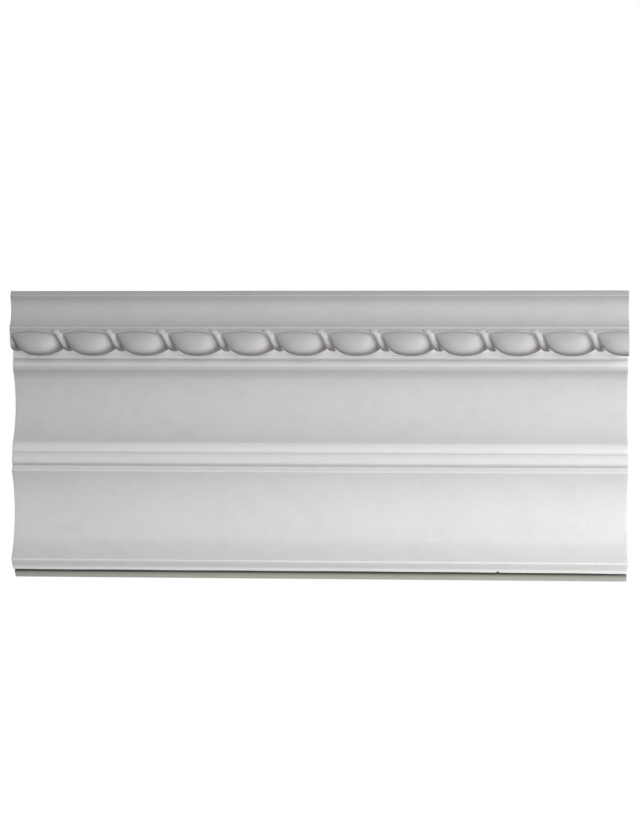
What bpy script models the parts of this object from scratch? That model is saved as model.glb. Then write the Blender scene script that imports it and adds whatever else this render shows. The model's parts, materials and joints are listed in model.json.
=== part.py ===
"""Cornice moulding length: one casting in plaster, cut square at both ends.

It is modelled as it is fixed: +X runs along the length, the wall is the plane y = 0 and the
room is towards -Y, and the ceiling lies on the flat top. The origin is the middle of the flat
bed that goes against the wall. All sizes are in metres.

A face's facing is an angle in degrees: 0 is a soffit that looks straight down, 90 is an upright
face that looks level into the room.
"""

import math

import bmesh
import bpy
import numpy as np

# The length that is cut off, and how the hidden back is cast
LENGTH = 0.318
CEILING_BED = 0.028
WALL_BED = 0.024

# The room side of the section, from the ceiling edge down and in to the wall
CEILING_FILLET = 0.0042
TOP_COVE_RADIUS = 0.01035
ROPE_FILLET = 0.0024
ROPE_BAND = 0.0163
LEDGE_FACE = 0.0037
LEDGE_FACING = 65.0
LEDGE_STEP = 0.0018
NOSING_RADIUS = 0.0042
MIDDLE_COVE_RADIUS = 0.02595
UPPER_REED = 0.0058
UPPER_REED_FACING = 58.0
LOWER_REED = 0.0056
LOWER_REED_FACING = 52.0
REED_SWELL = 0.0007
REED_STEP = 0.0016
LOWER_FILLET = 0.00375
LOWER_COVE_RADIUS = 0.0327
LIP_UNDERSIDE = 0.0082
LIP_DROP = 0.0025
BACKING_STRIP = 0.0083
ARRIS = 0.0005

# The rope on the soffit between the top cove and the nosing: fat beads like olives, and a thin
# cord lying between each two, twisted along the band
ROPE_PITCH = 0.0274
FIRST_CORD = 0.0277
ROPE_OUTER_MARGIN = 0.0009
ROPE_INNER_MARGIN = 0.0005
BEAD_HEIGHT = 0.0090
BEAD_END_HEIGHT = 0.0058
CORD_HEIGHT = 0.0044
GROOVE_HEIGHT = 0.0018
CORD_HALF_WIDTH = 0.00185
TWIST_RUN = 0.0035
TWIST_FADE = 0.0200
BEAD_END_POWER = 4.0
SIDE_WALL_SHARE = 0.16
FOOT_BATTER = 0.0002

# How finely curves are cut into flats
COVE_SEGMENTS = 10
NOSING_SEGMENTS = 5
REED_SEGMENTS = 4
ROPE_ROWS = 12
BEAD_STATIONS = 12
CORD_STATIONS = 4

PLASTER_COLOUR = (0.76, 0.75, 0.745, 1.0)
PLASTER_ROUGHNESS = 0.75
SMOOTH_ANGLE = math.radians(28.0)
QUARTER_TURN = math.pi / 2


class SectionPen:
    """Draws the room side of the section in the (y, z) plane, from the ceiling towards the wall."""

    def __init__(self):
        self.points = [(0.0, 0.0)]
        self.arris_cut = 0.0

    @property
    def corner(self):
        """The corner that the next run starts from, before its arris was softened."""
        y, z = self.points[-1]
        return y - self.arris_cut, z

    def down(self, height):
        """An upright face that looks into the room, down to an arris softened by a small flat."""
        y, z = self.points[-1]
        self.points.append((y, z - height + ARRIS))
        self.points.append((y + ARRIS, z - height))
        self.arris_cut = ARRIS

    def inward(self, depth):
        """A soffit, level towards the wall, up to an inner corner."""
        y, z = self.corner
        self.points.append((y + depth, z))
        self.arris_cut = 0.0

    def canted(self, width, facing):
        """A flat face at the given facing."""
        y, z = self.corner
        angle = math.radians(facing)
        self.points.append((y + width * math.cos(angle), z - width * math.sin(angle)))
        self.arris_cut = 0.0

    def cove(self, radius):
        """A hollow quarter round, from a level start to an upright end."""
        y, z = self.corner
        start = math.asin(self.arris_cut / radius)
        for angle in np.linspace(start, QUARTER_TURN, COVE_SEGMENTS + 1)[1:]:
            self.points.append((y + radius * math.sin(angle), z - radius + radius * math.cos(angle)))
        self.arris_cut = 0.0

    def nosing(self, radius):
        """A full quarter round, from an upright start to a level end."""
        y, z = self.corner
        for angle in np.linspace(0.0, QUARTER_TURN, NOSING_SEGMENTS + 1)[1:]:
            self.points.append((y + radius - radius * math.cos(angle), z - radius * math.sin(angle)))
        self.arris_cut = 0.0

    def reed(self, width, facing, swell):
        """A flat arc that stands out from a canted line by its swell, a parabola in height."""
        y, z = self.corner
        angle = math.radians(facing)
        for share in np.linspace(0.0, 1.0, REED_SEGMENTS + 1)[1:]:
            along = width * share
            out = 4.0 * swell * share * (1.0 - share)
            step_y = along * math.cos(angle) - out * math.sin(angle)
            step_z = -along * math.sin(angle) - out * math.cos(angle)
            self.points.append((y + step_y, z + step_z))
        self.arris_cut = 0.0


def section():
    """The closed section, counter-clockwise seen from +X, and the place of the rope band in it."""
    pen = SectionPen()
    pen.down(CEILING_FILLET)
    pen.cove(TOP_COVE_RADIUS)
    pen.down(ROPE_FILLET)
    band_start = len(pen.points) - 1
    pen.inward(ROPE_BAND)
    pen.canted(LEDGE_FACE, LEDGE_FACING)
    pen.inward(LEDGE_STEP)
    pen.nosing(NOSING_RADIUS)
    pen.cove(MIDDLE_COVE_RADIUS)
    pen.reed(UPPER_REED, UPPER_REED_FACING, REED_SWELL)
    pen.reed(LOWER_REED, LOWER_REED_FACING, REED_SWELL)
    pen.inward(REED_STEP)
    pen.down(LOWER_FILLET)
    pen.cove(LOWER_COVE_RADIUS)
    pen.inward(LIP_UNDERSIDE)
    lip_y, lip_z = pen.points[-1]
    wall_y = lip_y + BACKING_STRIP
    bed_bottom_z = lip_z + LIP_DROP
    pen.points.append((lip_y, bed_bottom_z))
    pen.points.append((wall_y, bed_bottom_z))
    pen.points.append((wall_y, bed_bottom_z + WALL_BED))
    pen.points.append((CEILING_BED, 0.0))
    origin_z = bed_bottom_z + WALL_BED / 2
    return [(y - wall_y, z - origin_z) for y, z in pen.points], band_start


def crest_height(distance):
    """Height of the rope's crest at a distance along it from the nearest cord's middle.

    On the cord it is a low half round. Past the cord's edge it rises from the groove as the end
    of a bead, the root of one less a power of how far it is from the bead's middle. The bead's
    crest sinks from its middle to its ends with the square of that share.
    """
    cord = np.sqrt(np.clip(1.0 - (distance / CORD_HALF_WIDTH) ** 2, 0.0, 1.0))
    bead_half = ROPE_PITCH / 2 - CORD_HALF_WIDTH
    share = np.clip((ROPE_PITCH / 2 - distance) / bead_half, 0.0, 1.0)
    bead = np.sqrt(1.0 - share ** BEAD_END_POWER)
    bead_crest = BEAD_HEIGHT - (BEAD_HEIGHT - BEAD_END_HEIGHT) * share ** 2
    cord_rise = (CORD_HEIGHT - GROOVE_HEIGHT) * cord
    bead_rise = (bead_crest - GROOVE_HEIGHT) * bead
    return GROOVE_HEIGHT + np.where(distance < CORD_HALF_WIDTH, cord_rise, bead_rise)


def rope_relief(along, turn):
    """How far the rope hangs below its soffit.

    along is the place along the length from the left end. turn is the angle round the rope, from
    minus a quarter turn at its outer foot to plus a quarter turn at its inner foot.
    """
    lean = TWIST_RUN * turn / QUARTER_TURN
    phase = along - FIRST_CORD - lean
    distance = np.abs(phase - ROPE_PITCH * np.round(phase / ROPE_PITCH))
    round_share = SIDE_WALL_SHARE + (1.0 - SIDE_WALL_SHARE) * np.cos(turn)
    return crest_height(distance) * round_share


def rope_stations():
    """Places along the length where the rope is cut into flats: close on the cords and bead ends."""
    bead_half = ROPE_PITCH / 2 - CORD_HALF_WIDTH
    cord_angles = np.linspace(-QUARTER_TURN, QUARTER_TURN, CORD_STATIONS + 1)
    bead_angles = np.linspace(QUARTER_TURN, -QUARTER_TURN, BEAD_STATIONS + 1)
    cord_offsets = CORD_HALF_WIDTH * np.sin(cord_angles)
    bead_offsets = ROPE_PITCH / 2 - bead_half * np.sin(bead_angles)
    one_pitch = np.concatenate((cord_offsets, bead_offsets[1:-1]))
    first = math.floor(-FIRST_CORD / ROPE_PITCH) - 1
    last = math.ceil((LENGTH - FIRST_CORD) / ROPE_PITCH) + 1
    places = np.concatenate([FIRST_CORD + ROPE_PITCH * count + one_pitch for count in range(first, last)])
    shortest = CORD_HALF_WIDTH / CORD_STATIONS
    inside = places[(places > shortest) & (places < LENGTH - shortest)]
    return np.concatenate(([0.0], np.unique(inside), [LENGTH]))


def rope_grid(band_outer, band_inner):
    """Points of the rope band as an array (stations, rows, 3), from the outer arris to the ledge."""
    stations = rope_stations()
    turns = np.linspace(-QUARTER_TURN, QUARTER_TURN, ROPE_ROWS + 1)
    outer_foot = ROPE_OUTER_MARGIN
    inner_foot = ROPE_BAND - ROPE_INNER_MARGIN
    middle = (outer_foot + inner_foot) / 2
    half_width = (inner_foot - outer_foot) / 2 - FOOT_BATTER
    ends_fade = np.clip(np.minimum(stations, LENGTH - stations) / TWIST_FADE, 0.0, 1.0)
    ends_fade = ends_fade * ends_fade * (3.0 - 2.0 * ends_fade)
    lean = TWIST_RUN * turns / QUARTER_TURN
    along = stations[:, None] + ends_fade[:, None] * lean[None, :]
    relief = rope_relief(along, turns[None, :])
    across = np.broadcast_to(middle + half_width * np.sin(turns), along.shape)
    flat = np.zeros((len(stations), 1))
    edge = stations[:, None]
    along = np.hstack((edge, along[:, :1], along, along[:, -1:], edge))
    across = np.hstack((flat, flat + outer_foot, across, flat + inner_foot, flat + ROPE_BAND))
    relief = np.hstack((flat, flat, relief, flat, flat))
    corner_y = band_inner[0] - ROPE_BAND
    grid = np.stack((along - LENGTH / 2, corner_y + across, band_inner[1] - relief), axis=-1)
    grid[:, 0, 1] = band_outer[0]
    return grid


def add_strip(mesh, far_left, far_right, row, row_is_below):
    """A flat strip between a plain edge and a row of points, as two fans that meet in the middle."""
    half = len(row) // 2
    for index in range(len(row) - 1):
        apex = far_left if index < half else far_right
        face = (apex, row[index], row[index + 1])
        mesh.faces.new(face if row_is_below else face[::-1])
    face = (far_left, row[half], far_right)
    mesh.faces.new(face if row_is_below else face[::-1])


def build_casting():
    """The whole casting as one closed mesh."""
    outline, band_start = section()
    band_end = band_start + 1
    mesh = bmesh.new()
    left = [mesh.verts.new((-LENGTH / 2, y, z)) for y, z in outline]
    right = [mesh.verts.new((LENGTH / 2, y, z)) for y, z in outline]

    grid = rope_grid(outline[band_start], outline[band_end])
    last_station = grid.shape[0] - 1
    last_row = grid.shape[1] - 1
    corners = {
        (0, 0): left[band_start],
        (0, last_row): left[band_end],
        (last_station, 0): right[band_start],
        (last_station, last_row): right[band_end],
    }
    rope = [[corners.get((i, j)) or mesh.verts.new(grid[i, j]) for j in range(last_row + 1)]
            for i in range(last_station + 1)]
    for i in range(last_station):
        for j in range(last_row):
            mesh.faces.new((rope[i][j], rope[i][j + 1], rope[i + 1][j + 1], rope[i + 1][j]))

    outer_row = [station[0] for station in rope]
    inner_row = [station[last_row] for station in rope]
    add_strip(mesh, left[band_start - 1], right[band_start - 1], outer_row, True)
    add_strip(mesh, left[band_end + 1], right[band_end + 1], inner_row, False)

    count = len(outline)
    beside_rope = {band_start - 1, band_start, band_end}
    for index in range(count):
        if index in beside_rope:
            continue
        after = (index + 1) % count
        mesh.faces.new((left[index], left[after], right[after], right[index]))

    left_cap = left[:band_end] + rope[0][1:last_row] + left[band_end:]
    right_cap = right[:band_end] + rope[last_station][1:last_row] + right[band_end:]
    mesh.faces.new(left_cap[::-1])
    mesh.faces.new(right_cap)
    return mesh


def plaster():
    """Dry cast plaster, off-white and matt."""
    material = bpy.data.materials.new("cast_plaster")
    material.use_nodes = True
    shader = material.node_tree.nodes["Principled BSDF"]
    shader.inputs["Base Color"].default_value = PLASTER_COLOUR
    shader.inputs["Roughness"].default_value = PLASTER_ROUGHNESS
    shader.inputs["Metallic"].default_value = 0.0
    return material


def main():
    """Clear the scene and put the casting in it."""
    for old in list(bpy.data.objects):
        bpy.data.objects.remove(old, do_unlink=True)
    casting = build_casting()
    data = bpy.data.meshes.new("cornice_moulding")
    casting.to_mesh(data)
    casting.free()
    data.materials.append(plaster())
    data.shade_smooth()
    data.set_sharp_from_angle(angle=SMOOTH_ANGLE)
    moulding = bpy.data.objects.new("cornice_moulding", data)
    bpy.context.scene.collection.objects.link(moulding)


main()
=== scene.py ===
"""The looks of a length of cast plaster cornice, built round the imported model.

The casting is one structured surface: rows run across the section, stations run along the
length, and every form is a formula on those two numbers. Lengths are in metres. +X runs along
the casting, the wall is y = 0, the room is towards -Y and the ceiling is on top.

A facing is an angle in degrees: 0 is a soffit that looks straight down, 90 is an upright face
that looks level into the room.
"""

import json
import logging
import math
from dataclasses import dataclass
from enum import Enum

import bpy
import numpy as np
from mathutils import Euler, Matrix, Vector

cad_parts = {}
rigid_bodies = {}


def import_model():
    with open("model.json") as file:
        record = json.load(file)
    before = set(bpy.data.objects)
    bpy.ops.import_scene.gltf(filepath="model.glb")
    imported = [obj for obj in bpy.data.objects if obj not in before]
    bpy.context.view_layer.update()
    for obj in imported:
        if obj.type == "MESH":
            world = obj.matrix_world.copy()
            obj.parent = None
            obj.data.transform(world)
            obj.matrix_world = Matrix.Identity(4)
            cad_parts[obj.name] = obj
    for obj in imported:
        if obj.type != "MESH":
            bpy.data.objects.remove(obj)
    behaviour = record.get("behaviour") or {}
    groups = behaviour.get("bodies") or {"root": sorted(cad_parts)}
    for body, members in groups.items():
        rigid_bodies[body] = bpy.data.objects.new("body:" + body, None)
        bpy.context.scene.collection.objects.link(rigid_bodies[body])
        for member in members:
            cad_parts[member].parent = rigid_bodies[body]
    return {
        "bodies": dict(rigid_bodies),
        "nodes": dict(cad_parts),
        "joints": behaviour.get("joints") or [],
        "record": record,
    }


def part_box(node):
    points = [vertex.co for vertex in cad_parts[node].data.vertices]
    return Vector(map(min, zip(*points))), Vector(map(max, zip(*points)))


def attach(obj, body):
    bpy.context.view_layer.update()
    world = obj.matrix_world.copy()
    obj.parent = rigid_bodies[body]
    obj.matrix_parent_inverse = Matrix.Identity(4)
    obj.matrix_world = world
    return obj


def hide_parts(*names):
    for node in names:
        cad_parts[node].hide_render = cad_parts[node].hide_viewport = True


logging.basicConfig(level=logging.INFO, format="%(message)s")
LOG = logging.getLogger("cornice")

NODE = "cornice_moulding"
BODY = "root"
MM = 0.001
QUARTER_TURN = math.pi / 2
Tree = bpy.types.NodeTree
Socket = bpy.types.NodeSocket
Array = np.ndarray
Notes = list[tuple[int, int, float]]
# Facings in degrees: straight down, level into the room, straight up and level to the wall.
DOWN = 0.0
OUTWARD = 90.0
UPWARD = 180.0
INWARD = -90.0
TINY = 1e-12
WHITE = (1.0, 1.0, 1.0, 1.0)
# Unevenness adds up this many sines, of widths spread by these shares, times the gain.
WAVE_COUNT = 14
WAVE_SPREAD = (0.7, 2.2)
WAVE_GAIN = 0.7


def linear(hex_colour: str) -> tuple[float, float, float, float]:
    """Turn an sRGB hex colour into Blender's linear colour.

    Args:
        hex_colour: Six hex digits, such as "e9e7e4".

    Returns:
        Red, green, blue and an alpha of 1, each the sRGB curve undone.
    """
    shares = [int(hex_colour[i:i + 2], 16) / 255.0 for i in (0, 2, 4)]
    curve = [s / 12.92 if s <= 0.04045 else ((s + 0.055) / 1.055) ** 2.4 for s in shares]
    return (curve[0], curve[1], curve[2], 1.0)


def add_node(tree: Tree, kind: str, inputs: dict | None = None,
             settings: dict | None = None) -> bpy.types.Node:
    """Add a node with its settings, values and links.

    Args:
        tree: The node tree to add to.
        kind: Blender's name of the node type.
        inputs: Values for input sockets by name or index; an output socket is linked instead.
        settings: Attributes of the node, which are set first.

    Returns:
        The new node.
    """
    node = tree.nodes.new(kind)
    for name, value in (settings or {}).items():
        setattr(node, name, value)
    for name, value in (inputs or {}).items():
        if isinstance(value, Socket):
            tree.links.new(value, node.inputs[name])
        else:
            node.inputs[name].default_value = value
    return node


def add_noise(tree: Tree, place: Socket, scale: float, detail: float, roughness: float) -> Socket:
    """Add a noise texture.

    Args:
        tree: The node tree to add to.
        place: The coordinates it is worked out from.
        scale: How many of its features lie in a metre.
        detail: How many finer layers it has.
        roughness: How strong those are.

    Returns:
        Its value.
    """
    noise = add_node(tree, "ShaderNodeTexNoise", {
        "Vector": place, "Scale": scale, "Detail": detail, "Roughness": roughness})
    return noise.outputs[0]


def add_object(name: str, data: bpy.types.ID) -> bpy.types.Object:
    """Add an object with its data to the scene, and return it."""
    added = bpy.data.objects.new(name, data)
    bpy.context.scene.collection.objects.link(added)
    return added


def smooth_step(share: Array) -> Array:
    """Ease from 0 to 1: three squares less two cubes of the share, held to 0 and 1 outside."""
    held = np.clip(share, 0.0, 1.0)
    return held * held * (3.0 - 2.0 * held)


def normals(points: Array) -> Array:
    """Unit vectors out of a surface: the cross of its slopes along rows and stations."""
    across = np.roll(points, -1, axis=1) - np.roll(points, 1, axis=1)
    along = np.gradient(points, axis=0)
    out = np.cross(across, along)
    return out / np.maximum(np.linalg.norm(out, axis=-1, keepdims=True), TINY)


def waves(points: Array, size: float, seed: int) -> Array:
    """Smooth unevenness, mostly between -1 and 1: sines in random directions, added up.

    Args:
        points: Where to work it out.
        size: Rough width of a swell.
        seed: Seed of the random draws.

    Returns:
        One value for each point.
    """
    draw = np.random.default_rng(seed)
    directions = draw.normal(size=(WAVE_COUNT, 3))
    directions /= np.linalg.norm(directions, axis=1, keepdims=True)
    scales = 2.0 * math.pi / (size * draw.uniform(*WAVE_SPREAD, WAVE_COUNT))
    phases = draw.uniform(0.0, 2.0 * math.pi, WAVE_COUNT)
    total = np.sin(points @ (directions * scales[:, None]).T + phases).sum(axis=-1)
    return np.clip(total / math.sqrt(WAVE_COUNT) * WAVE_GAIN, -1.0, 1.0)


class Surface(Enum):
    """How each part of the casting got its surface, and so which finish it wears."""

    CAST_FACE = 0
    STRUCK_BACK = 1
    SAWN_END = 2
    BACKING_EDGE = 3


class SectionPen:
    """Draws the section in the (y, z) plane as rows of points, with notes of painted shade and
    painted highlight.
    """

    def __init__(self, start: tuple[float, float]) -> None:
        """Start at a point near the ceiling's edge, which is the point (0, 0)."""
        self.rows: list[Array] = [np.array([start])]
        self.hollow_shades: list[tuple[int, float]] = []
        self.shade_notes: Notes = []
        self.highlight_notes: Notes = []

    @property
    def place(self) -> Array:
        """Where the pen is."""
        return self.rows[-1][-1]

    @property
    def last(self) -> int:
        """The number of the last row drawn, counted from 0."""
        return sum(len(part) for part in self.rows) - 1

    def face(self, width: float, facing: float, rows: int) -> None:
        """Draw a flat face.

        Args:
            width: Its width across the section.
            facing: Its facing in degrees; the pen moves by its cosine inward and sine down.
            rows: How many points it gets.
        """
        angle = math.radians(facing)
        direction = np.array([math.cos(angle), -math.sin(angle)])
        shares = np.linspace(0.0, 1.0, rows + 1)[1:, None]
        self.rows.append(self.place + shares * width * direction)

    def bend(self, radius: float, start: float, end: float, rows: int) -> None:
        """Draw a full round, such as an arris, a nosing or a reed.

        Its points are the running sum of a circle's arc: the sine of the facing inward and the
        cosine down, from one facing to the other, times the radius.

        Args:
            radius: Radius of the round.
            start: Facing at its start, in degrees.
            end: Facing at its end, less than start.
            rows: How many points it gets.
        """
        angles = np.radians(np.linspace(start, end, rows + 1)[1:])
        first = math.radians(start)
        inward = radius * (math.sin(first) - np.sin(angles))
        down = radius * (np.cos(angles) - math.cos(first))
        self.rows.append(self.place + np.stack((inward, -down), axis=1))

    def cove(self, inward: float, down: float, rows: int) -> None:
        """Draw a hollow quarter round, from a level start to an upright end.

        Its points are a quarter ellipse: sine of the angle inward, one less its cosine down.

        Args:
            inward: How far it goes towards the wall.
            down: How far it goes down.
            rows: How many points it gets.
        """
        angles = np.linspace(0.0, QUARTER_TURN, rows + 1)[1:]
        moves = np.stack((inward * np.sin(angles), down * (np.cos(angles) - 1.0)), axis=1)
        self.rows.append(self.place + moves)

    def note_hollow_shade(self, share: float) -> None:
        """Note that a hollow starts at the last row, with a share of painted shade that fades out.
        """
        self.hollow_shades.append((self.last, share))

    def note_shade(self, first: int, last: int, share: float) -> None:
        """Note that rows from the first to the last have a share more of painted shade."""
        self.shade_notes.append((first, last, share))

    def note_highlight(self, first: int, last: int, share: float) -> None:
        """Note that rows from the first to the last get a share of painted highlight."""
        self.highlight_notes.append((first, last, share))


@dataclass(frozen=True)
class Outline:
    """The closed section, as the pen drew it.

    Its points are rows of (y, z), anti-clockwise seen from +X, with the wall at y = 0 and the
    middle of the wall bed at z = 0. The rest says which rows are the rope's, at which row the
    edge behind the lip starts and at which the back, and which rows get painted shade or
    painted highlight.
    """

    points: Array
    rope_rows: slice
    edge_start: int
    back_start: int
    hollow_shades: list[tuple[int, float]]
    shade_notes: Notes
    highlight_notes: Notes


@dataclass(frozen=True)
class RopeBand:
    """The rope under the top cove: fat beads like olives with a thin twisted cord between each two.

    Its rows lie across the soffit. The first few cross the narrow strip outside the beads, and
    the rest are the angles round a bead, so they crowd where its sides are steep.
    """

    pitch: float = 27.4 * MM
    first_cord: float = 27.7 * MM
    band: float = 16.3 * MM
    outer_margin: float = 0.9 * MM
    inner_margin: float = 0.5 * MM
    rim_strip: float = 1.1 * MM
    core_height: float = 1.7 * MM
    bead_height: float = 9.0 * MM
    bead_end_height: float = 5.8 * MM
    bead_half_length: float = 11.8 * MM
    bead_waist: float = 0.17
    bead_end_power: float = 4.0
    bead_side_power: float = 2.3
    cord_height: float = 4.4 * MM
    cord_half_width: float = 1.85 * MM
    cord_end_power: float = 4.0
    twist_run: float = 3.5 * MM
    curl_run: float = 0.7 * MM
    curl_start: float = 0.7
    rim_gap: float = 0.75 * MM
    rim_half_width: float = 0.5 * MM
    rim_height: float = 0.7 * MM
    # The rim fades out over one part in this many of the half width, at the rope's feet.
    rim_fade: float = 18.0
    # How far a form hangs below the core before it is clear of the groove.
    groove_depth: float = 0.9 * MM
    # A cord counts as one where it is the highest form, to this much, and most on its crest.
    cord_slack: float = 0.02 * MM
    cord_spread: float = 1.4
    # The close stations reach this many half widths to each side of a cord.
    dense_reach: float = 2.6
    strip_rows: int = 6
    bead_rows: int = 50
    cord_stations: int = 30
    bead_stations: int = 24

    @property
    def half_width(self) -> float:
        """Half the width of the whole rope."""
        return (self.band - self.outer_margin - self.inner_margin) / 2

    @property
    def bead_half_width(self) -> float:
        """Half the width of a bead, which leaves the rim's strip free outside it."""
        return self.half_width - self.rim_strip / 2

    def rows(self) -> tuple[Array, Array]:
        """Places of its rows across the soffit, from the rope's middle, and their angles.

        Returns:
            Places from the outer foot to the inner one, and the angle round a bead at each:
            its sine times the bead's half width is the place from the bead's own middle.
        """
        angles = np.linspace(-QUARTER_TURN, QUARTER_TURN, self.bead_rows + 1)
        on_bead = self.rim_strip / 2 + self.bead_half_width * np.sin(angles)
        strip = np.linspace(-self.half_width, on_bead[0], self.strip_rows, endpoint=False)
        places = np.concatenate((strip, on_bead))
        return places, np.concatenate((np.full(self.strip_rows, -QUARTER_TURN), angles))

    def lean(self, angles: Array) -> Array:
        """How far beads and cords have run along the band at each angle: in step with it."""
        return self.twist_run * angles / QUARTER_TURN

    def relief(self, along: Array) -> tuple[Array, Array, Array]:
        """How far the rope hangs below its soffit, where it is a groove and where a cord.

        The rope is the highest of four forms. The core is a low half ellipse. A bead's crest and
        its girth both shrink from its middle to its ends with the square of its share along. It
        hangs by its crest times two roots: of one less a high power of the share along, and of
        one less a power of the share across the girth. A rim runs along the outer side of the
        beads, a set distance off their girth. A cord is a half round on a blunt arch, and curls
        off along the band near both feet.

        Args:
            along: Places along the length from the left end, (stations, rows).

        Returns:
            The hang at each place, a share that is 1 in the grooves and 0 on the forms, and one
            that is 1 on the cords.
        """
        places, angles = self.rows()
        across = places / self.half_width
        core = self.core_height * np.sqrt(np.clip(1.0 - across ** 2, 0.0, 1.0))
        base = along - self.first_cord - self.lean(angles)
        bead_phase = base - self.pitch / 2
        bead_along = bead_phase - self.pitch * np.round(bead_phase / self.pitch)
        share_along = np.abs(bead_along) / self.bead_half_length
        share_across = np.abs(places - self.rim_strip / 2) / self.bead_half_width
        shrink = np.minimum(share_along, 1.0) ** 2
        girth = 1.0 - self.bead_waist * shrink
        side = np.clip(1.0 - (share_across / girth) ** self.bead_side_power, 0.0, 1.0)
        end = np.clip(1.0 - share_along ** self.bead_end_power, 0.0, 1.0)
        crest = self.bead_height - (self.bead_height - self.bead_end_height) * shrink
        bead = crest * np.sqrt(side * end)
        clear = np.where(places < 0.0, (share_across - girth) * self.bead_half_width, -1.0)
        rim_share = (clear - self.rim_gap) / self.rim_half_width
        rim = core + self.rim_height * np.sqrt(np.clip(1.0 - rim_share ** 2, 0.0, 1.0))
        rim = rim * smooth_step((1.0 - np.abs(across)) * self.rim_fade)
        curl = np.clip((np.abs(across) - self.curl_start) / (1.0 - self.curl_start), 0.0, 1.0) ** 2
        cord_phase = base - np.sign(across) * self.curl_run * curl
        cord_along = cord_phase - self.pitch * np.round(cord_phase / self.pitch)
        arch = np.sqrt(np.clip(1.0 - np.abs(across) ** self.cord_end_power, 0.0, 1.0))
        cord_round = np.sqrt(np.clip(1.0 - (cord_along / self.cord_half_width) ** 2, 0.0, 1.0))
        cord = (core + (self.cord_height - self.core_height) * cord_round) * arch
        hang = np.maximum(np.maximum(core, bead), np.maximum(rim, cord))
        groove = 1.0 - smooth_step((hang - core) / self.groove_depth)
        on_cord = (cord >= hang - self.cord_slack) * smooth_step(cord_round * self.cord_spread)
        return hang, groove, on_cord

    def stations(self, length: float) -> Array:
        """Places along the length for the rope, close together near each cord.

        Args:
            length: The casting's length.

        Returns:
            Rising places that cover the length and a little more.
        """
        dense = self.dense_reach * self.cord_half_width
        offsets = np.concatenate((
            np.linspace(-dense, dense, self.cord_stations, endpoint=False),
            np.linspace(dense, self.pitch - dense, self.bead_stations, endpoint=False)))
        first = math.floor(-self.first_cord / self.pitch) - 1
        last = math.ceil((length - self.first_cord) / self.pitch) + 1
        counts = np.arange(first, last)
        return (self.first_cord + self.pitch * counts[:, None] + offsets[None, :]).ravel()


@dataclass(frozen=True)
class SectionShading:
    """Painted shade and painted highlight on the plain forms, in shares; highlight where it says
    highlight.

    A hollow is the painted shade where a cove starts. The nosing's shares are for the rows at its
    foot, and the foot is the last few rows of the lower cove. The ceiling edge's share only makes
    its round darker.
    """

    # Shares of painted shade in creases, steps, grooves, cove starts and the slot, and of painted
    # highlight on the ledge, nosing, reeds, lower fillet, arris and lip.
    ceiling_edge_darkening: float = 0.80
    top_cove_shade: float = 0.26
    rope_fillet_shade: float = 0.10
    ledge_highlight: float = 1.0
    ledge_step_shade: float = 0.06
    nosing_highlight: float = 0.5
    nosing_foot_shade: tuple[float, ...] = (0.02, 0.07, 0.15)
    middle_cove_shade: float = 0.28
    reed_highlight: float = 0.3
    reed_groove_shade: float = 0.38
    lower_reed_shade: float = 0.07
    reed_step_shade: float = 0.30
    fine_step_shade: float = 0.20
    lower_fillet_highlight: float = 0.35
    lower_cove_shade: float = 0.06
    foot_rows: int = 3
    foot_shade: float = 0.09
    arris_highlight: float = 0.45
    lip_highlight: float = 0.9
    slot_shade: float = 0.85
    slot_mouth_shade: float = 0.55
    edge_shade: float = 0.15


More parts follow.
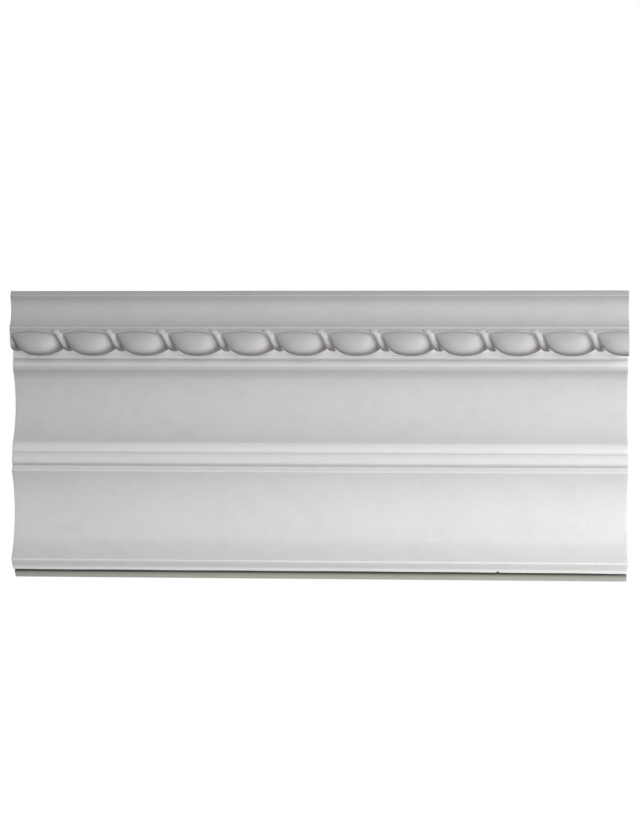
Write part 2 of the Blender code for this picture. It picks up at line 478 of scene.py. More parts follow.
@dataclass(frozen=True)
class Section:
    """The section of the casting, from the ceiling edge down the room side and round the back."""

    ceiling_bed: float = 28.0 * MM
    wall_bed: float = 24.0 * MM
    ceiling_fillet: float = 4.2 * MM
    top_cove: float = 10.35 * MM
    rope_fillet: float = 2.4 * MM
    ledge_face: float = 3.7 * MM
    ledge_facing: float = 65.0
    ledge_step: float = 1.8 * MM
    nosing: float = 4.2 * MM
    middle_cove: float = 25.95 * MM
    upper_reed: float = 5.8 * MM
    upper_facing: float = 58.0
    lower_reed: float = 5.6 * MM
    lower_facing: float = 52.0
    reed_turn: float = 64.0
    reed_step: float = 1.6 * MM
    lower_fillet: float = 3.75 * MM
    fine_step: float = 0.35 * MM
    fine_step_share: float = 0.42
    lower_cove: float = 32.7 * MM
    lip: float = 8.2 * MM
    lip_drop: float = 2.5 * MM
    backing_strip: float = 8.3 * MM
    worn_arris: float = 0.6 * MM
    fine_arris: float = 0.45 * MM
    soft_arris: float = 0.9 * MM
    slot_clear: float = 2.4 * MM
    slot_width: float = 1.5 * MM
    slot_depth: float = 4.5 * MM
    round_rows: int = 4
    small_round_rows: int = 3
    nosing_rows: int = 8
    reed_rows: int = 7
    face_rows: int = 3
    narrow_rows: int = 2
    lip_rows: int = 5
    cove_rows: tuple[int, int, int] = (12, 14, 16)
    # The sides behind the lip: five round the slot, the set-back edge, then the back's three.
    slot_rows: tuple[int, ...] = (2, 2, 3, 1, 3)
    edge_rows: int = 3
    back_rows: tuple[int, ...] = (4, 22, 4)
    wear: SectionShading = SectionShading()

    def reed(self, pen: SectionPen, width: float, facing: float) -> None:
        """Draw a reed: a shallow round whose chord has the reed's width and facing."""
        half = self.reed_turn / 2
        radius = width / (2.0 * math.sin(math.radians(half)))
        pen.bend(radius, facing + half, facing - half, self.reed_rows)

    def draw_top(self, pen: SectionPen) -> None:
        """Draw the ceiling fillet, the top cove and the fillet over the rope."""
        fine, soft, worn = self.fine_arris, self.soft_arris, self.worn_arris
        pen.bend(worn, UPWARD, OUTWARD, self.round_rows)
        pen.face(self.ceiling_fillet - worn - fine, OUTWARD, self.face_rows)
        pen.bend(fine, OUTWARD, DOWN, self.round_rows)
        pen.note_shade(0, self.round_rows - 1, self.wear.ceiling_edge_darkening)
        pen.note_hollow_shade(self.wear.top_cove_shade)
        pen.cove(self.top_cove - fine, self.top_cove, self.cove_rows[0])
        fillet_start = pen.last + 1
        pen.face(self.rope_fillet - soft, OUTWARD, self.narrow_rows)
        pen.bend(soft, OUTWARD, DOWN, self.round_rows)
        pen.note_shade(fillet_start, pen.last - 1, self.wear.rope_fillet_shade)

    def draw_soffit(self, pen: SectionPen, rope: RopeBand) -> slice:
        """Draw the flat soffit that the rope hangs from, and return the rope's rows.

        Besides those it has one more row at each of the rope's feet and one at its own end.
        """
        soft = self.soft_arris
        first = pen.last + 2
        places, _ = rope.rows()
        on_soffit = rope.outer_margin - soft + rope.half_width + places
        across = np.concatenate((on_soffit[:1], on_soffit, on_soffit[-1:], [rope.band - soft]))
        pen.rows.append(pen.place + np.stack((across, np.zeros_like(across)), axis=1))
        return slice(first, first + len(places))

    def draw_ledge(self, pen: SectionPen) -> None:
        """Draw the canted ledge with its step, the nosing and the middle cove."""
        ledge_start = pen.last
        pen.face(self.ledge_face, self.ledge_facing, self.face_rows)
        pen.note_highlight(ledge_start, pen.last, self.wear.ledge_highlight)
        pen.face(self.ledge_step, DOWN, self.narrow_rows)
        pen.note_shade(pen.last - 1, pen.last, self.wear.ledge_step_shade)
        nosing_start = pen.last + 1
        pen.bend(self.nosing, OUTWARD, DOWN, self.nosing_rows)
        pen.note_highlight(nosing_start, pen.last - self.nosing_rows // 2, self.wear.nosing_highlight)
        for row, share in enumerate(self.wear.nosing_foot_shade, pen.last - len(self.wear.nosing_foot_shade)):
            pen.note_shade(row, row, share)
        pen.note_hollow_shade(self.wear.middle_cove_shade)
        pen.cove(self.middle_cove, self.middle_cove, self.cove_rows[1])

    def draw_reeds(self, pen: SectionPen) -> None:
        """Draw the two reeds, the stepped fillet under them and the lower cove."""
        fine = self.fine_arris
        reed_start = pen.last + 1
        self.reed(pen, self.upper_reed, self.upper_facing)
        groove_row = pen.last
        self.reed(pen, self.lower_reed, self.lower_facing)
        pen.note_highlight(reed_start, pen.last - 1, self.wear.reed_highlight)
        pen.note_shade(groove_row, groove_row, self.wear.reed_groove_shade)
        pen.note_shade(groove_row + 1, pen.last, self.wear.lower_reed_shade)
        pen.face(self.reed_step, DOWN, self.narrow_rows)
        pen.note_shade(pen.last - 1, pen.last, self.wear.reed_step_shade)
        fillet_start = pen.last + 1
        pen.face(self.lower_fillet * self.fine_step_share, OUTWARD, self.face_rows)
        pen.face(self.fine_step, DOWN, 1)
        pen.note_shade(pen.last, pen.last, self.wear.fine_step_shade)
        pen.face(self.lower_fillet * (1.0 - self.fine_step_share) - fine, OUTWARD, self.face_rows)
        pen.bend(fine, OUTWARD, DOWN, self.small_round_rows)
        pen.note_highlight(fillet_start, pen.last - 1, self.wear.lower_fillet_highlight)
        pen.note_hollow_shade(self.wear.lower_cove_shade)
        down = self.lower_cove - fine
        pen.cove(down - self.fine_step, down, self.cove_rows[2])

    def draw_lip(self, pen: SectionPen) -> None:
        """Draw the lip's arris and its underside."""
        fine = self.fine_arris
        arris_start = pen.last
        pen.bend(fine, OUTWARD, DOWN, self.round_rows)
        pen.note_shade(arris_start - self.wear.foot_rows, arris_start, self.wear.foot_shade)
        pen.note_highlight(arris_start + 1, pen.last, self.wear.arris_highlight)
        pen.face(self.lip - 2.0 * fine, DOWN, self.lip_rows)
        lip_foot = pen.last
        pen.bend(fine, DOWN, INWARD, self.small_round_rows)
        pen.note_highlight(lip_foot - 1, lip_foot + self.small_round_rows - 1, self.wear.lip_highlight)

    def draw(self, rope: RopeBand) -> Outline:
        """Draw the closed section and note where its rows get painted shade and painted highlight.

        After the room side come straight sides: round the slot, along the edge that is set back
        behind the lip, up the wall bed, over the struck back and along the ceiling bed.

        Args:
            rope: The rope, whose rows lie on the soffit.

        Returns:
            The outline, with its last point left out, as that is the first one again.
        """
        pen = SectionPen((self.worn_arris, 0.0))
        self.draw_top(pen)
        rope_rows = self.draw_soffit(pen, rope)
        self.draw_ledge(pen)
        self.draw_reeds(pen)
        self.draw_lip(pen)
        lip_end = pen.place
        wall = lip_end[0] + self.backing_strip
        bed_bottom = lip_end[1] + self.lip_drop - self.fine_arris
        slot = lip_end[0] + self.slot_clear
        slot_top = bed_bottom + self.slot_depth
        corners = np.array([
            lip_end,
            (lip_end[0], bed_bottom),
            (slot, bed_bottom),
            (slot, slot_top),
            (slot + self.slot_width, slot_top),
            (slot + self.slot_width, bed_bottom),
            (wall, bed_bottom),
            (wall, bed_bottom + self.wall_bed),
            (self.ceiling_bed, 0.0),
            (self.worn_arris, 0.0),
        ])
        edge_start = pen.last
        side_rows = (*self.slot_rows, self.edge_rows, *self.back_rows)
        for start, end, rows in zip(corners[:-1], corners[1:], side_rows):
            shares = np.linspace(0.0, 1.0, rows + 1)[1:, None]
            pen.rows.append(start + shares * (end - start))
        slot_end = edge_start + sum(self.slot_rows)
        pen.note_shade(edge_start, slot_end - 1, self.wear.slot_shade)
        pen.note_shade(slot_end, slot_end, self.wear.slot_mouth_shade)
        pen.note_shade(slot_end + 1, slot_end + 1, self.wear.edge_shade)
        origin = np.array([wall, bed_bottom + self.wall_bed / 2])
        return Outline(np.concatenate(pen.rows)[:-1] - origin, rope_rows, edge_start,
                       pen.last - sum(self.back_rows), pen.hollow_shades, pen.shade_notes, pen.highlight_notes)


@dataclass(frozen=True)
class PlasterFinish:
    """Cast gypsum plaster, dry and unpainted, so matt with a faint sheen where the mould was smooth.

    The main colour is the plaster's own off-white, with faint greyer mottling some millimetres
    wide and warmer clouds some centimetres wide from how it dried. The grain is fine pitting
    from air and crystals. Painted shade greys it in creases, on steps and towards the ceiling
    edge, and painted highlight whitens its raised faces and edges.
    """

    name: str
    main: str = "dddddd"
    cloud: str = "d6d6d6"
    warm: str = "dddbdc"
    # Colours of the painted shade and the painted highlight laid over the plaster.
    painted_shade: str = "868282"
    painted_highlight: str = "fcfcfb"
    roughness: float = 0.62
    sheen_of_mould: float = 0.35
    cloud_mm: float = 7.0
    # Warm clouds are wider, so a metre has this share as many. A range is what of a noise shows.
    warm_share: float = 0.4
    cloud_range: tuple[float, float] = (0.35, 0.70)
    warm_range: tuple[float, float] = (0.40, 0.65)
    # Real pits are under half a millimetre: drawn coarser, as fine as the render shows.
    grain_mm: float = 0.9
    grain_height_mm: float = 0.012
    swell_mm: float = 9.0
    swell_height_mm: float = 0.07
    saw_mm: float = 0.0
    saw_height_mm: float = 0.06
    takes_painted_light: bool = True

    def colour(self, tree: Tree, place: Socket) -> Socket:
        """Mix the three near colours by two noises, then lay painted highlight and painted shade
        over them.
        """
        cloud = self.cloud_mm * MM
        clouds = add_noise(tree, place, 1.0 / cloud, detail=6.0, roughness=0.68)
        warmth = add_noise(tree, place, self.warm_share / cloud, detail=2.0, roughness=0.5)
        layers = []
        for value, (low, high), tint in (
                (clouds, self.cloud_range, self.cloud), (warmth, self.warm_range, self.warm)):
            share = add_node(tree, "ShaderNodeMapRange", {
                "Value": value, "From Min": low, "From Max": high})
            layers.append((share.outputs[0], tint))
        # Painted highlight and painted shade, read from the mesh's point attributes.
        if self.takes_painted_light:
            for name, tint in (("painted_highlight", self.painted_highlight), ("painted_shade", self.painted_shade)):
                share = add_node(tree, "ShaderNodeAttribute", None, {"attribute_name": name})
                layers.append((share.outputs["Fac"], tint))
        colour = linear(self.main)
        for share, tint in layers:
            mix = add_node(tree, "ShaderNodeMix", {0: share, 6: colour, 7: linear(tint)},
                           {"data_type": "RGBA"})
            colour = mix.outputs[2]
        return colour

    def relief(self, tree: Tree, place: Socket) -> Socket:
        """Stack the bumps of swells, grain and any saw marks into one bumped normal."""
        swell = add_noise(tree, place, 1.0 / (self.swell_mm * MM), detail=2.0, roughness=0.5)
        grain = add_noise(tree, place, 1.0 / (self.grain_mm * MM), detail=3.0, roughness=0.6)
        heights = [(swell, self.swell_height_mm), (grain, self.grain_height_mm)]
        if self.saw_mm > 0.0:
            saw = add_node(tree, "ShaderNodeTexWave", {
                "Vector": place, "Scale": 1.0 / (self.saw_mm * MM), "Distortion": 2.5,
                "Detail": 2.0}, {"bands_direction": "Z"})
            heights.append((saw.outputs["Fac"], self.saw_height_mm))
        normal = None
        for height, size_mm in heights:
            bump = add_node(tree, "ShaderNodeBump", {
                "Strength": 1.0, "Distance": size_mm * MM, "Height": height})
            if normal is not None:
                tree.links.new(normal, bump.inputs["Normal"])
            normal = bump.outputs["Normal"]
        return normal

    def material(self) -> bpy.types.Material:
        """Build the material on Object coordinates: its mixed colour over its stacked bumps."""
        material = bpy.data.materials.new(self.name)
        material.use_nodes = True
        tree = material.node_tree
        tree.nodes.clear()
        place = add_node(tree, "ShaderNodeTexCoord").outputs["Object"]
        shader = add_node(tree, "ShaderNodeBsdfPrincipled", {
            "Base Color": self.colour(tree, place), "Roughness": self.roughness,
            "Normal": self.relief(tree, place), "IOR": 1.52,
            "Specular IOR Level": self.sheen_of_mould})
        add_node(tree, "ShaderNodeOutputMaterial", {"Surface": shader.outputs["BSDF"]})
        return material


# The room side as it left the mould: near-white and matt, with painted shade in its creases
# and towards the ceiling edge, and painted highlight on its raised faces and edges.
CAST_PLASTER = PlasterFinish("cast gypsum plaster")
# The back was struck off with a board while wet: rougher, a little warmer and duller.
STRUCK_PLASTER = PlasterFinish(
    "struck plaster back", main="d6d3ce", cloud="ccc8c1", warm="d5cfc7", roughness=0.85,
    sheen_of_mould=0.2, grain_mm=1.6, grain_height_mm=0.12, swell_height_mm=0.25, takes_painted_light=False)
# The ends were sawn dry: whiter fresh plaster with faint level saw marks.
SAWN_PLASTER = PlasterFinish(
    "sawn plaster end", main="dedddb", cloud="d6d4d1", warm="dcd8d5", roughness=0.85,
    sheen_of_mould=0.2, grain_height_mm=0.05, saw_mm=3.0, takes_painted_light=False)
# The edge that is set back under the lip: olive-grey painted shade, darkest close to the lip.
SHADED_EDGE_PLASTER = PlasterFinish(
    "backing edge of cast plaster, olive-grey painted shade", main="bebfb5", cloud="b4b6aa", warm="bfbcb3",
    painted_shade="50514a", roughness=0.8, sheen_of_mould=0.2)
FINISHES = {
    Surface.CAST_FACE: CAST_PLASTER,
    Surface.STRUCK_BACK: STRUCK_PLASTER,
    Surface.SAWN_END: SAWN_PLASTER,
    Surface.BACKING_EDGE: SHADED_EDGE_PLASTER,
}


@dataclass(frozen=True)
class CastFaults:
    """The small faults of a plaster cast made and sawn by hand."""

    # The face swells by long low waves.
    swell_height: float = 0.10 * MM
    swell_width: float = 70.0 * MM
    swell_seed: int = 11
    # The lip wanders up by a long and a short wave, within this reach up and across.
    lip_wander: float = 0.40 * MM
    lip_reach_up: float = 4.0 * MM
    lip_reach_across: float = 6.0 * MM
    long_wave: float = 47.0 * MM
    long_wave_start: float = 0.6
    short_wave: float = 9.3 * MM
    wave_shares: tuple[float, float] = (0.7, 0.3)
    # One small chip in the lip's corner, which goes outward more than it goes up.
    chip_place: float = 93.0 * MM
    chip_width: float = 0.6 * MM
    chip_depth: float = 0.4 * MM
    chip_reach: float = 2.4 * MM
    chip_outward: float = 1.4
    # The back is rough where it was struck off: two sizes of waves with their seeds and shares.
    back_rough: float = 0.55 * MM
    rough_waves: tuple[tuple[float, int, float], ...] = ((16.0 * MM, 5, 0.6), (5.0 * MM, 6, 0.4))
    # It counts as the back where it faces this way, from a share on and over a blend.
    back_direction: tuple[float, float] = (0.62, 0.78)
    back_from: float = 0.80
    back_blend: float = 0.15
    # The beds are flat to within this.
    bed_slack: float = 0.05 * MM
    # The sawn edges have crumbled, and the next stations in by a share of that.
    crumble: float = 0.22 * MM
    crumble_inside: float = 0.35
    crumble_seed: int = 23


@dataclass(frozen=True)
class CastShading:
    """Painted shade and painted highlight on the rope, the coves and the whole height, in shares.

    A flank is the side of a bead or cord towards the wall. Its start and reach, and those of
    the highlighted core, are in degrees round a bead, where 90 is its foot by the ledge.
    """

    # Painted shade: darker towards the ceiling edge, on the rope, in its grooves and on its flanks;
    # painted highlight on the core beside the ledge.
    height_shade: float = 0.38
    height_power: float = 1.5
    rope_shade: float = 0.15
    cord_shade_cut: float = 0.4
    groove_shade: float = 0.12
    flank_shade: float = 0.80
    flank_start: float = -14.0
    flank_reach: float = 46.0
    core_highlight: float = 0.9
    core_highlight_start: float = 30.0
    core_highlight_reach: float = 30.0
    hollow_shade_reach: float = 7.0 * MM
    highlight_clears_shade: float = 0.8


@dataclass(frozen=True)
class CorniceCasting:
    """The casting itself: section, rope, faults, painted shade and painted highlight, as one closed
    skin.
    """

    section: Section = Section()
    rope: RopeBand = RopeBand()
    faults: CastFaults = CastFaults()
    wear: CastShading = CastShading()
    # The rope's lean fades out over this much at each end, so that the ends stay flat.
    end_fade: float = 20.0 * MM
    # The chip's stations, and the first few at each end, close enough to crumble.
    chip_stations: int = 40
    chip_zone_mm: float = 2.6
    end_stations: tuple[float, ...] = (0.0, 0.12 * MM, 0.45 * MM)
    end_clear: float = 0.9 * MM
    least_gap: float = 0.05 * MM
    coarse_step: int = 2
    sharp_angle: float = 35.0

    def stations(self, length: float) -> Array:
        """Places of the stations along the length, from the left end.

        They are the rope's, some close together at the chip and two near each end. The widest
        gaps are halved until the number of gaps is a multiple of the coarse step.

        Args:
            length: The casting's length.

        Returns:
            Rising places from 0 to the length.
        """
        offsets = np.linspace(-self.chip_zone_mm, self.chip_zone_mm, self.chip_stations) * MM
        at_chip = self.faults.chip_place + length / 2 + offsets
        places = np.sort(np.concatenate((self.rope.stations(length), at_chip)))
        places = places[(places > self.end_clear) & (places < length - self.end_clear)]
        places = places[np.concatenate(([True], np.diff(places) > self.least_gap))]
        ends = np.array(self.end_stations)
        places = np.concatenate((ends, places, (length - ends)[::-1]))
        extra = -(len(places) - 1) % self.coarse_step
        widest = np.argsort(np.diff(places))[::-1][:extra]
        middles = (places[widest] + places[widest + 1]) / 2
        return np.sort(np.concatenate((places, middles)))

    def grid(self, outline: Outline, length: float) -> tuple[Array, Array, Array]:
        """Work out every point of the true surface.

        Each station repeats the section. The rope's rows slide along by its lean, faded out near
        the ends so that they stay flat, and hang by its relief.

        Args:
            outline: The section.
            length: The casting's length.

        Returns:
            Points (stations, rows, 3), and shares (stations, rows) that are 1 in the rope's
            grooves and on its cords.
        """
        rope_rows = outline.rope_rows
        stations = self.stations(length)
        _, angles = self.rope.rows()
        fade = smooth_step(np.minimum(stations, length - stations) / self.end_fade)
        along = np.repeat(stations[:, None], len(outline.points), axis=1)
        lean = np.pad(self.rope.lean(angles), 1, mode="edge")
        along[:, rope_rows.start - 1:rope_rows.stop + 1] += fade[:, None] * lean[None, :]
        hang, groove, cord = np.zeros((3, *along.shape))
        relief = self.rope.relief(along[:, rope_rows])
        hang[:, rope_rows], groove[:, rope_rows], cord[:, rope_rows] = relief
        y = np.broadcast_to(outline.points[:, 0], along.shape)
        z = outline.points[:, 1][None, :] - hang
        return np.stack((along - length / 2, y, z), axis=-1), groove, cord

    def pushed(self, points: Array, out: Array, on_bed: Array) -> Array:
        """Push the surface in by long low swells and its back by roughness, but not its beds."""
        faults = self.faults
        back_y, back_z = faults.back_direction
        facing_back = out[..., 1] * back_y + out[..., 2] * back_z
        on_back = smooth_step((facing_back - faults.back_from) / faults.back_blend) * ~on_bed
        rough = sum(waves(points, size, seed) * share for size, seed, share in faults.rough_waves)
        low_wave = waves(points, faults.swell_width, faults.swell_seed)
        swell = faults.swell_height * (low_wave - 1.0) * 0.5
        push = np.where(on_bed, 0.0, swell) + on_back * faults.back_rough * (rough - 1.0)
        return points + out * push[..., None]

    def fault_lip(self, points: Array, moved: Array) -> None:
        """Let the lip wander up along its length, and chip it once.

        The lip rises by two sines, and by a bell curve at the chip. Both fade out with the
        distance from the lip's corner.

        Args:
            points: The true surface, (stations, rows, 3).
            moved: The surface to change, in place.
        """
        faults = self.faults
        x, y, z = points[..., 0], points[..., 1], points[..., 2]
        above = z - z.min()
        beside = y + self.section.backing_strip
        near_lip = (smooth_step(1.0 - above / faults.lip_reach_up)
                    * smooth_step(1.0 - np.abs(beside) / faults.lip_reach_across))
        near_corner = smooth_step(1.0 - np.hypot(above, beside) / faults.chip_reach)
        long_share, short_share = faults.wave_shares
        long_wave = long_share * np.sin(x / faults.long_wave + faults.long_wave_start)
        wander = 0.5 + 0.5 * (long_wave + short_share * np.sin(x / faults.short_wave))
        chip = np.exp(-((x - faults.chip_place) / faults.chip_width) ** 2)
        moved[..., 2] += near_lip * faults.lip_wander * wander
        moved[..., 2] += near_corner * faults.chip_depth * chip
        moved[..., 1] -= near_corner * faults.chip_depth * chip * faults.chip_outward

    def weathered(self, points: Array) -> Array:
        """Add the faults of a hand cast: uneven faces, a faulty lip and crumbled sawn edges.

        Args:
            points: The true surface, (stations, rows, 3).

        Returns:
            The surface with its faults, nowhere outside the true one's box.
        """
        faults = self.faults
        out = normals(points)
        y, z = points[..., 1], points[..., 2]
        on_bed = (y > -faults.bed_slack) | (z > z.max() - faults.bed_slack)
        moved = self.pushed(points, out, on_bed)
        self.fault_lip(points, moved)
        draw = np.random.default_rng(faults.crumble_seed)
        loss = draw.uniform(0.0, 1.0, points.shape[:2]) ** 2 * faults.crumble
        end_share = np.zeros(len(points))
        end_share[[0, -1]] = 1.0
        end_share[[1, -2]] = faults.crumble_inside
        moved -= out * (loss * end_share[:, None] * ~on_bed)[..., None]
        moved[[0, -1], :, 0] = points[[0, -1], :, 0]
        return np.clip(moved, points.min(axis=(0, 1)), points.max(axis=(0, 1)))

    def worn(self, points: Array, groove: Array, cord: Array,
             outline: Outline) -> tuple[Array, Array]:
        """How much painted shade and painted highlight each point gets.

        Painted shade deepens towards the ceiling edge, with a power of the way there along the
        diagonal. The rope has a little more, though less on its cords, and more again in its grooves
        on the room side and on the flank of its beads and cords towards the wall. So has the start
        of each cove, which fades out over a set reach. Raised faces and the core beside the ledge
        get painted highlight instead, which lifts the painted shade there.

        Args:
            points: The surface, (stations, rows, 3).
            groove: The share that is 1 in the rope's grooves.
            cord: The share that is 1 on its cords.
            outline: The section, with its notes.

        Returns:
            Shares of grime and of rubbing, (stations, rows) each.
        """
        wear, rope_rows = self.wear, outline.rope_rows
        _, angles = self.rope.rows()
        degrees = np.degrees(angles)
        flank = smooth_step((degrees - wear.flank_start) / wear.flank_reach)
        core_lit = smooth_step((degrees - wear.core_highlight_start) / wear.core_highlight_reach)
        on_core = groove[:, rope_rows]
        way = points[..., 2] - points[..., 1]
        way = (way - way.min()) / (way.max() - way.min())
        painted_shade = wear.height_shade * way ** wear.height_power
        painted_shade[:, rope_rows] += wear.rope_shade * (1.0 - wear.cord_shade_cut * cord[:, rope_rows])
        painted_shade[:, rope_rows] += wear.groove_shade * on_core * (1.0 - flank)
        painted_shade[:, rope_rows] += wear.flank_shade * (1.0 - on_core) * flank
        for row, share in outline.hollow_shades:
            reach = np.linalg.norm(points[0, :, 1:] - points[0, row, 1:], axis=1)
            past = np.arange(points.shape[1]) >= row
            painted_shade += share * past * smooth_step(1.0 - reach / wear.hollow_shade_reach)
        for start, end, share in outline.shade_notes:
            painted_shade[:, start:end + 1] += share
        painted_highlight = np.zeros_like(painted_shade)
        painted_highlight[:, rope_rows] = wear.core_highlight * on_core * core_lit
        for start, end, share in outline.highlight_notes:
            painted_highlight[:, start:end + 1] = share
        return np.clip(painted_shade * (1.0 - wear.highlight_clears_shade * painted_highlight), 0.0, 1.0), painted_highlight

    def faces(self, index: Array, rope_rows: slice) -> tuple[list[list[int]], Array]:
        """List the faces of the closed skin.

        The rope's rows keep every station, and the rest of the section only each coarse one. On
        the flat faces beside the rope, one polygon joins a coarse gap to its fine ones.

        Args:
            index: Vertex numbers, (stations, rows).
            rope_rows: The rope's rows.

        Returns:
            Vertex numbers of each face, and the row that each face starts from, with -1 for
            the two ends.
        """
        step = self.coarse_step
        rows = index.shape[1]
        first, last = rope_rows.start - 1, rope_rows.stop
        fine = index[:, first:last + 1]
        fine_quads = np.stack((fine[:-1, :-1], fine[:-1, 1:], fine[1:, 1:], fine[1:, :-1]), axis=-1)
        coarse = index[::step]
        starts = np.concatenate((np.arange(0, first - 1), np.arange(last + 1, rows)))
        after = (starts + 1) % rows
        coarse_quads = np.stack((coarse[:-1][:, starts], coarse[:-1][:, after],
                                 coarse[1:][:, after], coarse[1:][:, starts]), axis=-1)
        gaps = len(coarse) - 1
        fans = np.arange(gaps)[:, None] * step + np.arange(step + 1)[None, :]
        before = coarse[:, first - 1:first]
        beyond = coarse[:, last + 1:last + 2]
        upper = np.concatenate((before[:-1], index[fans, first], before[1:]), axis=1)
        lower = np.concatenate((beyond[:-1], beyond[1:], index[fans[:, ::-1], last]), axis=1)
        groups = (fine_quads.reshape(-1, 4), coarse_quads.reshape(-1, 4), upper, lower)
        from_rows = np.concatenate((
            np.tile(np.arange(first, last), len(index) - 1), np.tile(starts, gaps),
            np.full(gaps, first - 1), np.full(gaps, last), [-1, -1]))
        faces = [face for group in groups for face in group.tolist()]
        return faces + [index[0][::-1].tolist(), index[-1].tolist()], from_rows

    def dress(self, mesh: bpy.types.Mesh, outline: Outline, from_rows: Array) -> None:
        """Give each face its finish by its row, smooth the skin and leave the ends flat."""
        for surface in Surface:
            mesh.materials.append(FINISHES[surface].material())
        wears = np.full(len(from_rows), Surface.CAST_FACE.value, dtype=np.int32)
        wears[from_rows >= outline.edge_start] = Surface.BACKING_EDGE.value
        wears[from_rows >= outline.back_start] = Surface.STRUCK_BACK.value
        wears[from_rows < 0] = Surface.SAWN_END.value
        mesh.polygons.foreach_set("material_index", wears)
        mesh.shade_smooth()
        mesh.set_sharp_from_angle(angle=math.radians(self.sharp_angle))
        mesh.polygons.foreach_set("use_smooth", from_rows >= 0)

    def build(self) -> bpy.types.Object:
        """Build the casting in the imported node's place and dress it.

        Returns:
            The finished piece, at the origin, with its place in its mesh.
        """
        low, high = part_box(NODE)
        outline = self.section.draw(self.rope)
        rope_rows = outline.rope_rows
        points, groove, cord = self.grid(outline, high.x - low.x)
        # Painted shade and painted highlight, worked out on the true surface.
        painted_shade, painted_highlight = self.worn(points, groove, cord, outline)
        points = self.weathered(points)
        used = np.zeros(points.shape[:2], dtype=bool)
        used[::self.coarse_step] = True
        used[:, rope_rows.start - 1:rope_rows.stop + 1] = True
        index = np.cumsum(used).reshape(used.shape) - 1
        faces, from_rows = self.faces(index, rope_rows)
        mesh = bpy.data.meshes.new("cornice_casting")
        mesh.from_pydata(points[used], [], faces)
        # The shares of painted shade and painted highlight go on the mesh as point attributes.
        for name, shares in (("painted_shade", painted_shade), ("painted_highlight", painted_highlight)):
            layer = mesh.attributes.new(name, "FLOAT", "POINT")
            layer.data.foreach_set("value", shares[used].astype(np.float32))
        self.dress(mesh, outline, from_rows)
        mesh.validate()
        piece = add_object("cornice_casting", mesh)
        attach(piece, BODY)
        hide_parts(NODE)
        mesh.calc_loop_triangles()
        LOG.info("cornice_casting: %d stations by %d rows, %d triangles",
                 *used.shape, len(mesh.loop_triangles))
        return piece


# The spots that the lamps are aimed at.
MIDDLE = (0.0, -0.0587, 0.0336)
LIP = (0.0, -0.0300, -0.0050)


@dataclass(frozen=True)
class SoftBox:
    """One square soft light: its direction and distance from where it is aimed, size and power."""

    name: str
    sideways: float
    facing: float
    distance: float
    size: float
    power: float
    aim: tuple[float, float, float] = MIDDLE


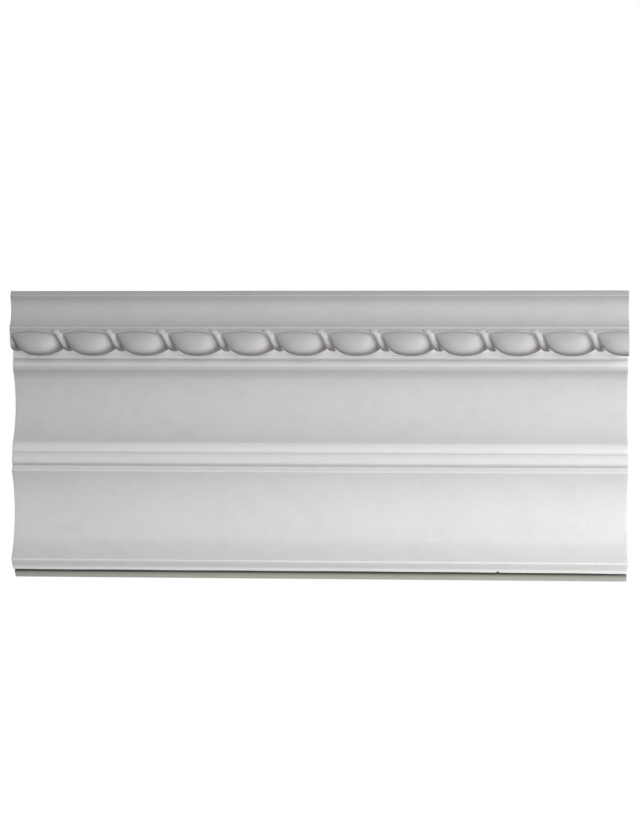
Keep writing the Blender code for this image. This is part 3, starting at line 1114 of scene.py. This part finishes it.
@dataclass(frozen=True)
class Studio:
    """The plain studio: a pale floor far below, soft light from the right, and the camera.

    The photograph looks square at the cornice's diagonal, so the camera stands in the room below
    it and looks up.
    """

    focal_px: float = 2600.0
    frame_px: tuple[int, int] = (640, 835)
    sensor_mm: float = 36.0
    shift_px: float = 67.0
    eye: tuple[float, float, float] = (0.0821, -1.0097, -0.9124)
    tilt_deg: tuple[float, float, float] = (135.183, -3.624, 3.335)
    floor_drop: float = 2.3
    floor_width: float = 12.0
    floor_colour: str = "e8e8e6"
    floor_roughness: float = 0.8
    room_light: float = 0.380
    # The window's light comes from the right, and low ones fill the lip and its underside.
    boxes: tuple[SoftBox, ...] = (
        SoftBox("window side", 65, 90, 0.80, 0.45, 3.16),
        SoftBox("front", 10, 65, 0.80, 0.45, 0.62),
        SoftBox("low front", 12, 30, 0.42, 0.24, 0.62, LIP),
        SoftBox("low right", 45, 30, 0.42, 0.24, 0.26, LIP),
        SoftBox("under right", 45, 0, 0.42, 0.24, 0.26, LIP),
    )

    def floor(self) -> None:
        """Lay a plain pale floor, far enough below for the camera to stand above it."""
        half = self.floor_width / 2
        mesh = bpy.data.meshes.new("studio_floor")
        corners = ((-half, -half), (half, -half), (half, half), (-half, half))
        mesh.from_pydata([(x, y, -self.floor_drop) for x, y in corners], [], [(0, 1, 2, 3)])
        material = bpy.data.materials.new("pale studio floor")
        material.use_nodes = True
        shader = material.node_tree.nodes["Principled BSDF"]
        shader.inputs["Base Color"].default_value = linear(self.floor_colour)
        shader.inputs["Roughness"].default_value = self.floor_roughness
        mesh.materials.append(material)
        floor = add_object("studio_floor", mesh)

    def world(self) -> None:
        """Fill the room with even light, and show plain white behind the casting."""
        world = bpy.data.worlds.new("studio")
        bpy.context.scene.world = world
        world.use_nodes = True
        tree = world.node_tree
        tree.nodes.clear()
        lit, seen = (add_node(tree, "ShaderNodeBackground", {"Color": WHITE, "Strength": strength})
                     for strength in (self.room_light, 1.0))
        path = add_node(tree, "ShaderNodeLightPath")
        mix = add_node(tree, "ShaderNodeMixShader", {
            0: path.outputs["Is Camera Ray"], 1: lit.outputs[0], 2: seen.outputs[0]})
        add_node(tree, "ShaderNodeOutputWorld", {"Surface": mix.outputs[0]})

    def hang(self, box: SoftBox) -> None:
        """Hang one soft box, facing the spot it is aimed at.

        Its place is the aim plus the distance along a direction: the sideways angle turns it
        towards the right, and the facing takes it from straight below to level in the room.
        """
        sideways, facing = math.radians(box.sideways), math.radians(box.facing)
        away = Vector((math.sin(sideways), -math.cos(sideways) * math.sin(facing),
                       -math.cos(sideways) * math.cos(facing)))
        light = bpy.data.lights.new(box.name, "AREA")
        light.shape = "SQUARE"
        light.size = box.size
        light.energy = box.power
        lamp = add_object(box.name, light)
        lamp.location = Vector(box.aim) + away * box.distance
        lamp.rotation_euler = (-away).to_track_quat("-Z", "Y").to_euler()
        lamp.visible_camera = False

    def camera(self) -> None:
        """Set the camera at the photograph's viewing angle."""
        data = bpy.data.cameras.new("camera")
        data.sensor_fit = "AUTO"
        data.sensor_width = self.sensor_mm
        data.lens = self.focal_px / max(self.frame_px) * self.sensor_mm
        data.shift_x = self.shift_px / max(self.frame_px)
        data.clip_start = 0.01
        data.clip_end = 50.0
        camera = add_object("camera", data)
        camera.location = Vector(self.eye)
        camera.rotation_euler = Euler([math.radians(angle) for angle in self.tilt_deg])
        bpy.context.scene.camera = camera

    def build(self) -> None:
        """Set the whole studio up, with colours shown as they are."""
        bpy.context.scene.view_settings.view_transform = "Standard"
        self.floor()
        self.world()
        for box in self.boxes:
            self.hang(box)
        self.camera()
        LOG.info("studio: floor %.2f m down, focal length %.0f px", self.floor_drop, self.focal_px)


def main() -> None:
    """Load the frame, and build the casting and the studio."""
    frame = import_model()
    LOG.info("frame: %s", type(frame).__name__)
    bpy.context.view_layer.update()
    CorniceCasting().build()
    Studio().build()
    bpy.context.view_layer.update()
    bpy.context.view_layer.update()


if __name__ == "__main__":
    main()
